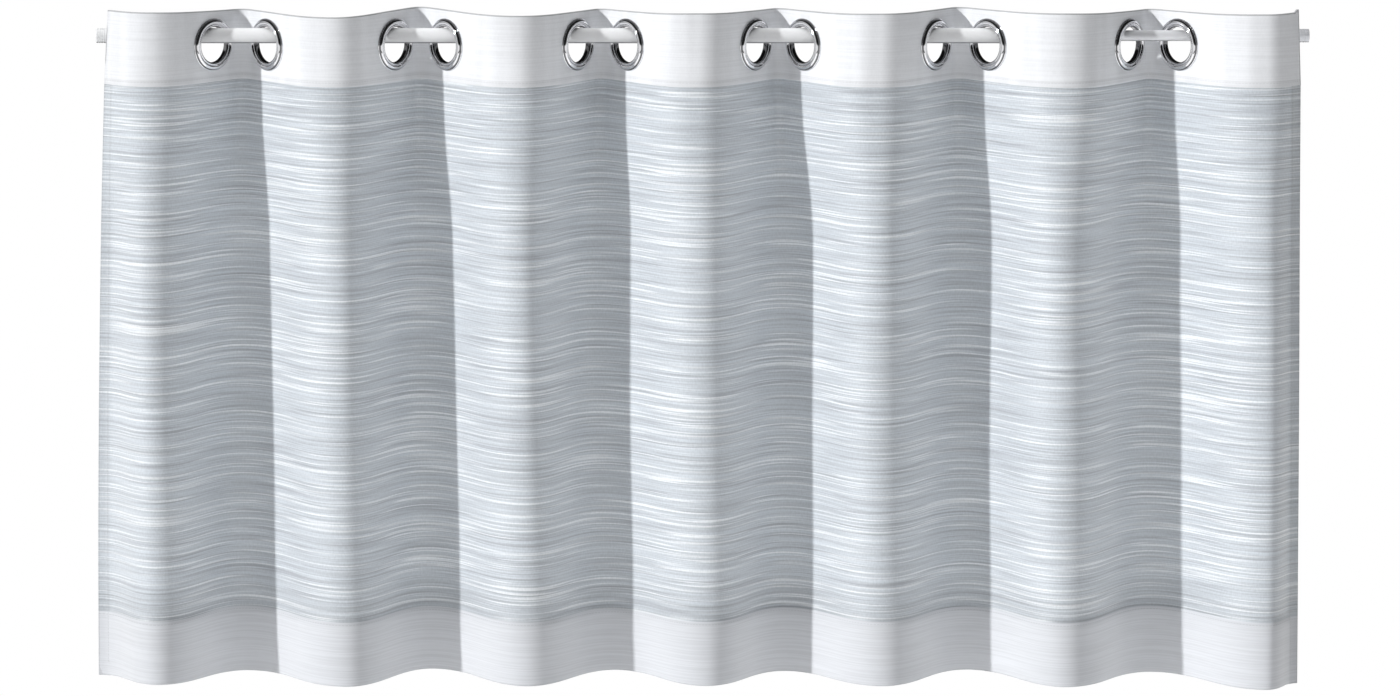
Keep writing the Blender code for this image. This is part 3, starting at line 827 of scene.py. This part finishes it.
@dataclass(frozen=True)
class StreakedFinish:
    """The slubbed weave of the body: long weft streaks on a pale blue-grey ground."""

    width: float
    ground: Colour = (0.595, 0.642, 0.692)
    white: Colour = (0.90, 0.935, 0.97)
    grey: Colour = (0.415, 0.443, 0.49)
    # Painted shade: the hem's plain white is set darker than the heading's, standing in for the light falling off
    # toward the foot.
    plain: Colour = (0.698, 0.718, 0.757)
    seam: float = -0.0414
    hem_top: float = -0.5275
    border: float = 0.045
    border_shade: float = 0.15
    shade: PaintedClothShade = PaintedClothShade(line_share=0.8)

    def weft_line(self, graph: Graph, height: bpy.types.NodeSocket, level: float) -> bpy.types.NodeSocket:
        """Return 1 on one heavy weft line that runs round the cloth at a level."""
        return graph.window(graph.math("ABSOLUTE", graph.math("SUBTRACT", height, level)), 0.0003, 0.0009, 1.0, 0.0)

    def material(self) -> bpy.types.Material:
        """Return the weave, plain below the hem's seam.

        Returns:
            The material.
        """
        graph = Graph("streaked_cloth")
        place = graph.attribute(CLOTH_COORDINATES)
        height, margin = graph.part(place, "Y"), graph.part(place, "Z")
        broad = graph.noise(graph.mapped(place, (2.4, 75.0, 0.0)), detail=1.0)
        white = graph.noise(graph.mapped(place, (6.5, 430.0, 0.0), (0.0, 0.0, 4.0)), detail=2.0, roughness=0.6)
        grey = graph.noise(graph.mapped(place, (7.0, 400.0, 0.0), (31.0, 17.0, 9.0)), detail=2.0, roughness=0.6)
        lines = graph.noise(graph.mapped(place, (9.0, 640.0, 0.0), (5.0, 3.0, 14.0)), detail=2.0, roughness=0.6)
        warp = graph.noise(graph.mapped(place, (640.0, 300.0, 0.0), (2.0, 8.0, 19.0)), detail=1.0)
        lift = graph.math("MULTIPLY", graph.math("SUBTRACT", broad, 0.5), 0.16)
        white_share = graph.window(graph.math("ADD", white, lift), 0.52, 0.64)
        grey_share = graph.window(graph.math("SUBTRACT", grey, lift), 0.52, 0.66)
        colour = graph.mix(graph.math("MULTIPLY", grey_share, 0.78), self.ground, self.grey)
        colour = graph.mix(graph.math("MULTIPLY", white_share, 0.9), colour, self.white)
        line_share = graph.window(lines, 0.36, 0.64, 0.88, 1.12)
        fine = graph.math("MULTIPLY", line_share, graph.window(warp, 0.3, 0.7, 0.955, 1.045))
        above_hem = graph.window(height, self.hem_top, self.hem_top + self.border, self.border_shade, 0.0)
        borders = graph.math("SUBTRACT", 1.0, above_hem)
        dark_lines = graph.math("ADD", self.weft_line(graph, height, self.seam - 0.0012), self.weft_line(graph, height, self.seam - 0.0075))
        low_lines = graph.math("ADD", self.weft_line(graph, height, self.hem_top + 0.0012), self.weft_line(graph, height, self.hem_top + 0.0045))
        borders = graph.math("SUBTRACT", borders, graph.math("MULTIPLY", dark_lines, 0.12))
        borders = graph.math("SUBTRACT", borders, graph.math("MULTIPLY", low_lines, 0.05))
        # Painted shade: the side hems, where the cloth turns back away from the light, are darkened a little; the same
        # mask carries their stitches.
        side = graph.math("MULTIPLY", graph.window(margin, 0.0098, 0.0102, 1.0, 0.0), graph.window(height, -0.578, -0.574))
        borders = graph.math("SUBTRACT", borders, graph.math("MULTIPLY", side, 0.06))
        woven = graph.scaled(colour, graph.math("MULTIPLY", fine, borders))
        is_hem = graph.window(height, self.hem_top - 0.0004, self.hem_top + 0.0004, 1.0, 0.0)
        hem = graph.scaled(self.plain, graph.window(lines, 0.36, 0.64, 0.935, 1.04))
        final = graph.mix(is_hem, woven, hem)
        along = graph.part(place, "X")
        seam_row = graph.stitches(graph.math("SUBTRACT", height, self.hem_top - 0.0025), along)
        side_row = graph.math("MULTIPLY", graph.stitches(graph.math("SUBTRACT", margin, 0.0085), height), side)
        thread = graph.math("ADD", seam_row, side_row, clamp=True)
        final = graph.scaled(final, graph.math("SUBTRACT", 1.0, graph.math("MULTIPLY", thread, 0.14)))
        # Painted shade: the strip at the right end, turned away from the light, is darkened.
        right_edge_shade = graph.window(along, self.width - 0.012, self.width - 0.008, 1.0, 0.86)
        final = graph.scaled(final, right_edge_shade)
        graph.link(graph.scaled(final, self.shade.factor(graph, height, margin)), graph.shader.inputs["Base Color"])
        relief = graph.math("ADD", graph.math("MULTIPLY", white_share, 0.6), graph.math("MULTIPLY", lines, 0.5))
        relief = graph.math("ADD", relief, graph.math("MULTIPLY", warp, 0.3))
        graph.bump(relief, 0.6, 0.00025)
        graph.link(graph.window(is_hem, 0.0, 1.0, 0.5, 0.95), graph.shader.inputs["Roughness"])
        graph.constants(Specular_IOR_Level=0.9, Sheen_Weight=1.0, Sheen_Roughness=0.5)
        return graph.material


@dataclass(frozen=True)
class PlainFinish:
    """The plain white cloth of the heading and the hem."""

    name: str = "plain_cloth"
    colour: Colour = (0.905, 0.92, 0.95)
    stitch_level: float = -0.0374
    border_top: float = -0.0360
    border_share: float = 0.95
    shade: PaintedClothShade = PaintedClothShade()

    def material(self) -> bpy.types.Material:
        """Return the plain weave.

        Returns:
            The material.
        """
        graph = Graph(self.name)
        place = graph.attribute(CLOTH_COORDINATES)
        yarn = graph.noise(graph.mapped(place, (12.0, 640.0, 0.0), (5.0, 3.0, 0.0)), detail=2.0)
        warp = graph.noise(graph.mapped(place, (640.0, 200.0, 0.0), (2.0, 8.0, 0.0)), detail=1.0)
        fine = graph.math("MULTIPLY", graph.window(yarn, 0.36, 0.64, 0.965, 1.02), graph.window(warp, 0.3, 0.7, 0.985, 1.01))
        # Painted light and shade: faint vertical streaks, lighter and darker, stand in for the heading's soft creases.
        painted_crease_light = graph.noise(graph.mapped(place, (52.0, 5.0, 0.0), (7.0, 1.0, 0.0)), detail=1.0)
        fine = graph.math("MULTIPLY", fine, graph.window(painted_crease_light, 0.34, 0.66, 0.955, 1.03))
        height = graph.part(place, "Y")
        share = self.shade.factor(graph, height, graph.part(place, "Z"))
        thread = graph.stitches(graph.math("SUBTRACT", height, self.stitch_level), graph.part(place, "X"))
        share = graph.math("MULTIPLY", share, graph.math("SUBTRACT", 1.0, graph.math("MULTIPLY", thread, 0.12)))
        border = graph.window(height, self.border_top - 0.0006, self.border_top, self.border_share, 1.0)
        # Painted shade: a thin darker line at the border's top, standing in for the shade in a groove.
        groove = graph.window(graph.math("ABSOLUTE", graph.math("SUBTRACT", height, self.border_top)), 0.0002, 0.0008, 0.91, 1.0)
        share = graph.math("MULTIPLY", share, graph.math("MULTIPLY", border, groove))
        # Painted shadow: a dark line down the heading's left edge beside the rod, where the gap behind the edge is in
        # shadow.
        beside_rod = graph.window(graph.math("ABSOLUTE", graph.math("ADD", height, 0.006)), 0.012, 0.02, 1.0, 0.0)
        left_edge_shadow = graph.window(graph.part(place, "X"), 0.0006, 0.0014, 0.45, 0.0)
        share = graph.math("MULTIPLY", share, graph.math("SUBTRACT", 1.0, graph.math("MULTIPLY", left_edge_shadow, beside_rod)))
        graph.link(graph.scaled(self.colour, graph.math("MULTIPLY", fine, share)), graph.shader.inputs["Base Color"])
        graph.bump(graph.math("ADD", yarn, graph.math("MULTIPLY", warp, 0.6)), 0.2, 0.00018)
        graph.constants(Roughness=0.9, Specular_IOR_Level=0.15)
        return graph.material


@dataclass(frozen=True)
class HardFinish:
    """A hard surface: metal, enamel or rubber, with faint marks in its gloss and painted shade on its lower side."""

    name: str
    colour: Colour
    metallic: float
    roughness: float
    marks: float = 0.03
    mark_scale: Point = (180.0, 180.0, 180.0)
    coat: float = 0.0
    gloss: float = 0.5
    # Painted shade: the two shares below darken the lower half and the downward-facing limb.
    flank: float = 1.0
    underside_shade: float = 1.0

    def material(self) -> bpy.types.Material:
        """Return the finish.

        Returns:
            The material.
        """
        graph = Graph(self.name)
        place = graph.node("ShaderNodeTexCoord").outputs["Object"]
        wear = graph.noise(graph.mapped(place, self.mark_scale), detail=3.0, roughness=0.6)
        rough = graph.window(wear, 0.35, 0.7, self.roughness - self.marks / 2, self.roughness + self.marks)
        graph.link(rough, graph.shader.inputs["Roughness"])
        dull = tuple(channel * 0.965 for channel in self.colour)
        colour = graph.mix(graph.window(wear, 0.5, 0.75), self.colour, dull)
        # Painted shade: the colour darkens on the lower half and in a fine line where the surface faces down.
        down = graph.part(graph.node("ShaderNodeNewGeometry").outputs["Normal"], "Z")
        line = graph.window(down, -0.84, -0.72, self.underside_shade, 1.0)
        line = graph.math("MULTIPLY", line, graph.window(down, -0.9, 0.3, self.flank, 1.0))
        graph.link(graph.scaled(colour, line), graph.shader.inputs["Base Color"])
        graph.constants(Metallic=self.metallic, Specular_IOR_Level=self.gloss, Coat_Weight=self.coat)
        return graph.material


@dataclass(frozen=True)
class RingFinish:
    """Bright plated metal with painted shade in the ring's groove and down its throat."""

    colour: Colour = (0.80, 0.80, 0.82)
    roughness: float = 0.06
    throat: float = 0.0166
    groove: float = 0.0224
    painted_shade_share: float = 0.25

    def material(self) -> bpy.types.Material:
        """Return the finish.

        Returns:
            The material.
        """
        graph = Graph("eyelet_metal")
        place = graph.node("ShaderNodeTexCoord").outputs["Object"]
        across, up = graph.part(place, "X"), graph.part(place, "Y")
        square = graph.math("ADD", graph.math("MULTIPLY", across, across), graph.math("MULTIPLY", up, up))
        radius = graph.math("SQRT", square)
        # Painted shade: the colour darkens down the throat and in the groove between lip and bead.
        inside = graph.window(radius, self.throat, self.throat + 0.0007, self.painted_shade_share, 1.0)
        off_groove = graph.math("ABSOLUTE", graph.math("SUBTRACT", radius, self.groove))
        grooved = graph.window(off_groove, 0.0002, 0.0006, self.painted_shade_share, 1.0)
        share = graph.math("MULTIPLY", inside, grooved)
        graph.link(graph.scaled(self.colour, share), graph.shader.inputs["Base Color"])
        wear = graph.noise(graph.mapped(place, (180.0, 180.0, 180.0)), detail=3.0, roughness=0.6)
        rough = graph.window(wear, 0.35, 0.7, self.roughness - 0.01, self.roughness + 0.02)
        graph.link(rough, graph.shader.inputs["Roughness"])
        graph.constants(Metallic=1.0)
        return graph.material


def turned_mesh(name: str, profile: Sequence[tuple[float, float]], segments: int) -> bpy.types.Mesh:
    """Turn a closed profile about the local Z axis.

    Args:
        name: the mesh's name.
        profile: (radius, along) points, up the outer side and down the inner one. A point with
            no radius becomes one shared point on the axis.
        segments: steps in the full turn.

    Returns:
        The mesh, in metres.
    """
    points: list[Point] = []
    rings: list[list[int]] = []
    for radius, along in profile:
        if radius == 0.0:
            points.append((0.0, 0.0, along * MM))
            rings.append([len(points) - 1] * segments)
            continue
        start = len(points)
        for i in range(segments):
            angle = 2.0 * math.pi * i / segments
            points.append((radius * MM * math.cos(angle), radius * MM * math.sin(angle), along * MM))
        rings.append(list(range(start, start + segments)))
    faces = []
    for low, high in zip(rings, rings[1:] + rings[:1]):
        for i in range(segments):
            after = (i + 1) % segments
            corners = tuple(dict.fromkeys((low[i], low[after], high[after], high[i])))
            if len(corners) > 2:
                faces.append(corners)
    mesh = bpy.data.meshes.new(name)
    mesh.from_pydata(points, [], faces)
    mesh.shade_smooth()
    mesh.set_sharp_from_angle(angle=math.radians(38.0))
    return mesh


def round_corner(centre: tuple[float, float], radius: float, start: float, end: float, steps: int) -> list[tuple[float, float]]:
    """Return the points of an arc in a profile.

    Args:
        centre: the arc's centre, as (radius, along).
        radius: the arc's own radius.
        start: first angle in degrees, from the outward direction toward +along.
        end: last angle in degrees.
        steps: number of steps.

    Returns:
        The arc's points, both ends included.
    """
    points = []
    for i in range(steps + 1):
        angle = math.radians(start + (end - start) * i / steps)
        points.append((centre[0] + radius * math.cos(angle), centre[1] + radius * math.sin(angle)))
    return points


@dataclass
class Eyelets:
    """The twelve snapped metal rings: an outer lip, a full bead, a groove and an inner lip."""

    drape: Drape
    material: bpy.types.Material
    outer_radius: float = 23.5
    bore_radius: float = 15.9
    barrel_radius: float = 17.6
    cloth_half: float = 1.1
    segments: int = 96

    def profile(self) -> list[tuple[float, float]]:
        """Return the ring's section, as (radius, along) points.

        Returns:
            The points, up the outer side and down the bore.
        """
        face = self.cloth_half + 0.05
        lip = round_corner((self.outer_radius - 0.6, face + 0.45), 0.6, -40.0, 150.0, 7)
        bead = round_corner((20.2, face + 0.95), 2.3, -8.0, 152.0, 14)
        throat = round_corner((self.bore_radius + 1.5, face + 0.8), 1.5, 55.0, 180.0, 12)
        back = round_corner((self.bore_radius + 1.8, -face + 0.1), 1.8, 180.0, 270.0, 8)
        back += round_corner((self.outer_radius - 2.0, -face - 1.0), 1.0, 270.0, 360.0, 6)
        groove = [
            (self.outer_radius - 1.0, -face),
            (self.barrel_radius, -face),
            (self.barrel_radius, face),
            (self.outer_radius - 0.3, face),
        ]
        return lip + bead + throat + back + groove

    def build(self) -> list[bpy.types.Object]:
        """Place one ring on each eyelet hole, square to the cloth that it grips.

        Returns:
            The rings, from left to right.
        """
        mesh = turned_mesh("eyelet_ring", self.profile(), self.segments)
        rings: list[bpy.types.Object] = []
        for stretch in self.drape.stretches:
            if not stretch.has_eyelet:
                continue
            falling = stretch.from_ridge
            ridge, valley = (stretch.left, stretch.right) if falling else (stretch.right, stretch.left)
            number = len(rings) + 1
            ring = bpy.data.objects.new(f"ring_{number:02d}", mesh)
            bpy.context.scene.collection.objects.link(ring)
            if not mesh.materials:
                mesh.materials.append(self.material)
            ring.location = (self.drape.eyelet_x(ridge, valley) * MM, 0.0, self.drape.eyelet_z * MM)
            yaw = math.atan(stretch.flank.slope) * (1.0 if falling else -1.0)
            ring.rotation_euler = (math.pi / 2, 0.0, yaw)
            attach(ring, BODY)
            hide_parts(f"eyelet_{number:02d}")
            rings.append(ring)
        LOG.info("eyelets: %d rings", len(rings))
        return rings


@dataclass
class TensionRod:
    """The telescoping rod: an outer tube, an inner tube and two end caps."""

    enamel: bpy.types.Material
    satin: bpy.types.Material
    white_cap: bpy.types.Material
    metal_cap: bpy.types.Material
    length: float = 1082.8
    outer_radius: float = 6.8
    inner_radius: float = 4.8
    wall: float = 0.7
    outer_end: float = 860.0
    inner_start: float = 640.0
    left_cap_radius: float = 6.5
    left_cap_length: float = 8.0
    right_cap_radius: float = 6.0
    right_cap_length: float = 13.0
    gap: float = 0.3
    segments: int = 72

    def turned(self, name: str, profile: list[tuple[float, float]], material: bpy.types.Material) -> bpy.types.Object:
        """Turn a profile of (along, radius) points about the rod's axis.

        Args:
            name: the piece's name.
            profile: the section, up the outer side from left to right and back inside.
            material: its finish.

        Returns:
            The piece.
        """
        mesh = turned_mesh(name, [(radius, along) for along, radius in profile], self.segments)
        piece = link_piece(name, mesh, material)
        piece.rotation_euler = (0.0, math.pi / 2, 0.0)
        return piece

    def build(self) -> list[bpy.types.Object]:
        """Build the rod's four pieces.

        Returns:
            The tubes and the caps.
        """
        bore = self.outer_radius - self.wall
        start, end = self.left_cap_length + self.gap, self.outer_end
        tube = [
            (start, bore),
            (start, self.outer_radius - 0.2),
            (start + 0.2, self.outer_radius),
            (end - 1.6, self.outer_radius),
            (end - 0.7, self.outer_radius - 0.25),
            (end, self.outer_radius - 0.9),
            (end, self.inner_radius + self.gap),
            (end - 4.0, self.inner_radius + self.gap),
            (end - 5.0, bore),
        ]
        inner_end = self.length - 4.0 - self.gap
        inner = [
            (self.inner_start, self.inner_radius - self.wall),
            (self.inner_start, bore - self.gap),
            (self.inner_start + 8.0, bore - self.gap),
            (self.inner_start + 10.0, self.inner_radius),
            (inner_end, self.inner_radius),
            (inner_end, self.inner_radius - self.wall),
        ]
        pieces = [
            self.turned("outer_tube", tube, self.enamel),
            self.turned("inner_tube", inner, self.satin),
            self.turned("left_cap", self.left_cap(bore), self.white_cap),
            self.turned("right_cap", self.right_cap(), self.metal_cap),
        ]
        nodes = ("rod_outer_tube", "rod_inner_tube", "rod_cap_left", "rod_cap_right")
        for piece, node in zip(pieces, nodes):
            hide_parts(node)
        LOG.info("rod: %d pieces", len(pieces))
        return pieces

    def left_cap(self, bore: float) -> list[tuple[float, float]]:
        """Return the left cap's section: a ribbed plug with a spigot in the tube."""
        radius = self.left_cap_radius
        outline = [(0.0, 0.0), (0.0, radius - 0.7), (0.2, radius - 0.25), (0.7, radius)]
        for rib in (2.4, 4.4, 6.4):
            outline += [(rib - 0.4, radius), (rib - 0.15, radius - 0.3), (rib + 0.15, radius - 0.3), (rib + 0.4, radius)]
        end = self.left_cap_length
        outline += [(end, radius), (end, bore - self.gap), (end + 14.0, bore - self.gap), (end + 14.0, 0.0)]
        return outline

    def right_cap(self) -> list[tuple[float, float]]:
        """Return the right cap's section: a cup over the inner tube's end, with four ribs."""
        radius = self.right_cap_radius
        floor = self.length - 4.0
        mouth = self.length - self.right_cap_length
        outline = [(floor, 0.0), (floor, self.inner_radius + self.gap), (mouth, self.inner_radius + self.gap)]
        outline += [(mouth, radius - 0.2), (mouth + 0.2, radius)]
        for rib in (-9.0, -6.4, -3.8, -1.8):
            at = self.length + rib
            outline += [(at - 0.4, radius), (at - 0.15, radius - 0.3), (at + 0.15, radius - 0.3), (at + 0.4, radius)]
        outline += [(self.length - 0.6, radius), (self.length - 0.15, radius - 0.25), (self.length, radius - 0.7)]
        outline.append((self.length, 0.0))
        return outline


@dataclass
class Studio:
    """The pale floor, the light and the camera at the photograph's angle."""

    camera_place: Point = (0.5391, -4.4465, 0.5008)
    pitch_down: float = 10.0
    focal_length: float = 128.6
    floor_drop: float = 1.6
    floor_size: float = 6.0
    key_azimuth: float = 61.5
    key_elevation: float = 20.5
    key_strength: float = 2.45
    key_softness: float = 2.2
    floor_glow: float = 0.50
    top_fill: float = 1.5
    wall_fill: float = 0.09
    mirrored_dark: float = 0.02
    mirrored_bright: float = 0.95
    mirrored_left: float = 0.9

    def build(self) -> None:
        """Set up the floor, the lights, the world and the camera."""
        scene = bpy.context.scene
        scene.view_settings.view_transform = "Standard"
        self.add_floor()
        self.add_key()
        self.add_world()
        self.add_camera()

    def add_floor(self) -> None:
        """Lay the pale floor, far below the hem."""
        half = self.floor_size / 2
        corners = [(-half, -half, 0.0), (half, -half, 0.0), (half, half, 0.0), (-half, half, 0.0)]
        mesh = bpy.data.meshes.new("floor")
        mesh.from_pydata(corners, [], [(0, 1, 2, 3)])
        floor = bpy.data.objects.new("floor", mesh)
        bpy.context.scene.collection.objects.link(floor)
        floor.location = (0.54, 0.0, -self.floor_drop)
        graph = Graph("floor")
        graph.shader.inputs["Base Color"].default_value = (0.92, 0.92, 0.92, 1.0)
        graph.shader.inputs["Emission Color"].default_value = (1.0, 1.0, 1.0, 1.0)
        graph.constants(Roughness=0.9, Specular_IOR_Level=0.1, Emission_Strength=self.floor_glow)
        mesh.materials.append(graph.material)

    def add_key(self) -> None:
        """Hang the key light, up to the left of the camera."""
        light = bpy.data.lights.new("key", "SUN")
        light.energy = self.key_strength
        light.angle = math.radians(self.key_softness)
        key = bpy.data.objects.new("key", light)
        bpy.context.scene.collection.objects.link(key)
        key.rotation_euler = (math.radians(90.0 - self.key_elevation), 0.0, -math.radians(self.key_azimuth))

    def add_world(self) -> None:
        """Light the room from overhead, mirror it dark above the floor, and show it plain white."""
        world = bpy.data.worlds.new("studio")
        bpy.context.scene.world = world
        world.use_nodes = True
        tree = world.node_tree
        coordinate = tree.nodes.new("ShaderNodeTexCoord")
        split = tree.nodes.new("ShaderNodeSeparateXYZ")
        tree.links.new(coordinate.outputs["Generated"], split.inputs[0])
        up = split.outputs["Z"]
        overhead = self.room(tree, self.ramp(tree, up, (0.60, 0.95), (self.wall_fill, self.top_fill)))
        below = self.ramp(tree, up, (-0.06, 0.02), (self.mirrored_bright, self.mirrored_dark))
        off_band = self.calculate(tree, "ABSOLUTE", self.calculate(tree, "ADD", up, 0.45))
        band = self.ramp(tree, off_band, (0.07, 0.14), (0.12, 1.0))
        left = self.ramp(tree, split.outputs["X"], (-0.93, -0.85), (self.mirrored_left, self.mirrored_dark))
        mirrored = self.room(tree, self.calculate(tree, "MAXIMUM", self.calculate(tree, "MULTIPLY", below, band), left))
        white = self.room(tree, self.ramp(tree, up, (-1.0, 1.0), (1.0, 1.0)))
        seen = tree.nodes.new("ShaderNodeLightPath")
        fill = self.choose(tree, seen.outputs["Is Glossy Ray"], overhead, mirrored)
        whole = self.choose(tree, seen.outputs["Is Camera Ray"], fill, white)
        tree.links.new(whole, tree.nodes["World Output"].inputs["Surface"])

    def ramp(
        self,
        tree: bpy.types.NodeTree,
        value: bpy.types.NodeSocket,
        span: tuple[float, float],
        strengths: tuple[float, float],
    ) -> bpy.types.NodeSocket:
        """Return a strength that changes with one part of the direction.

        Args:
            tree: the world's nodes.
            value: the part of the direction, from -1 to 1.
            span: where the change begins and ends.
            strengths: the strength at each.

        Returns:
            The strength.
        """
        made = tree.nodes.new("ShaderNodeMapRange")
        made.interpolation_type = "SMOOTHSTEP"
        tree.links.new(value, made.inputs["Value"])
        for key, number in zip(("From Min", "From Max", "To Min", "To Max"), (*span, *strengths)):
            made.inputs[key].default_value = number
        return made.outputs[0]

    def calculate(
        self,
        tree: bpy.types.NodeTree,
        operation: str,
        first: bpy.types.NodeSocket,
        second: object = 0.0,
    ) -> bpy.types.NodeSocket:
        """Return the result of a Math node in the world's tree."""
        made = tree.nodes.new("ShaderNodeMath")
        made.operation = operation
        tree.links.new(first, made.inputs[0])
        if isinstance(second, bpy.types.NodeSocket):
            tree.links.new(second, made.inputs[1])
        else:
            made.inputs[1].default_value = second
        return made.outputs[0]

    def room(self, tree: bpy.types.NodeTree, strength: bpy.types.NodeSocket) -> bpy.types.NodeSocket:
        """Return a white surrounding of a given strength."""
        surrounding = tree.nodes.new("ShaderNodeBackground")
        surrounding.inputs["Color"].default_value = (1.0, 1.0, 1.0, 1.0)
        tree.links.new(strength, surrounding.inputs["Strength"])
        return surrounding.outputs[0]

    def choose(
        self,
        tree: bpy.types.NodeTree,
        switch: bpy.types.NodeSocket,
        first: bpy.types.NodeSocket,
        second: bpy.types.NodeSocket,
    ) -> bpy.types.NodeSocket:
        """Return the first shader, or the second where the switch is on."""
        choice = tree.nodes.new("ShaderNodeMixShader")
        for source, target in zip((switch, first, second), choice.inputs):
            tree.links.new(source, target)
        return choice.outputs[0]

    def add_camera(self) -> None:
        """Place the camera at the photograph's angle."""
        lens = bpy.data.cameras.new("camera")
        lens.lens = self.focal_length
        lens.sensor_width = 36.0
        lens.clip_end = 200.0
        camera = bpy.data.objects.new("camera", lens)
        bpy.context.scene.collection.objects.link(camera)
        camera.location = self.camera_place
        camera.rotation_euler = (math.radians(90.0 - self.pitch_down), 0.0, 0.0)
        bpy.context.scene.camera = camera


def main() -> None:
    """Build every sub-assembly round the frame and report each one."""
    logging.basicConfig(level=logging.INFO, format="%(name)s: %(message)s")
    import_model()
    drape = Drape()
    plain = PlainFinish().material()
    heading = Heading(drape, plain).build()
    body_width = sum(drape.arc(stretch, drape.mid_z) for stretch in drape.stretches)
    body = BodyPanel(drape, StreakedFinish(body_width * MM).material(), plain).build()
    rings = Eyelets(drape, RingFinish().material()).build()
    enamel = HardFinish("rod_enamel", (0.96, 0.97, 0.985), 0.0, 0.5, gloss=0.25, flank=0.82, underside_shade=0.3).material()
    satin = HardFinish("rod_satin", (0.84, 0.85, 0.88), 0.15, 0.34, mark_scale=(900.0, 900.0, 5.0), underside_shade=0.4).material()
    white_cap = HardFinish("rod_cap_white", (0.90, 0.91, 0.92), 0.0, 0.4, gloss=0.25, underside_shade=0.2).material()
    metal_cap = HardFinish("rod_cap_metal", (0.68, 0.69, 0.72), 0.35, 0.3, gloss=0.3, underside_shade=0.3).material()
    TensionRod(enamel, satin, white_cap, metal_cap).build()
    seam = drape.seam_z
    width = sum(drape.arc(stretch, seam) for stretch in drape.stretches)
    Studio().build()


if __name__ == "__main__":
    main()
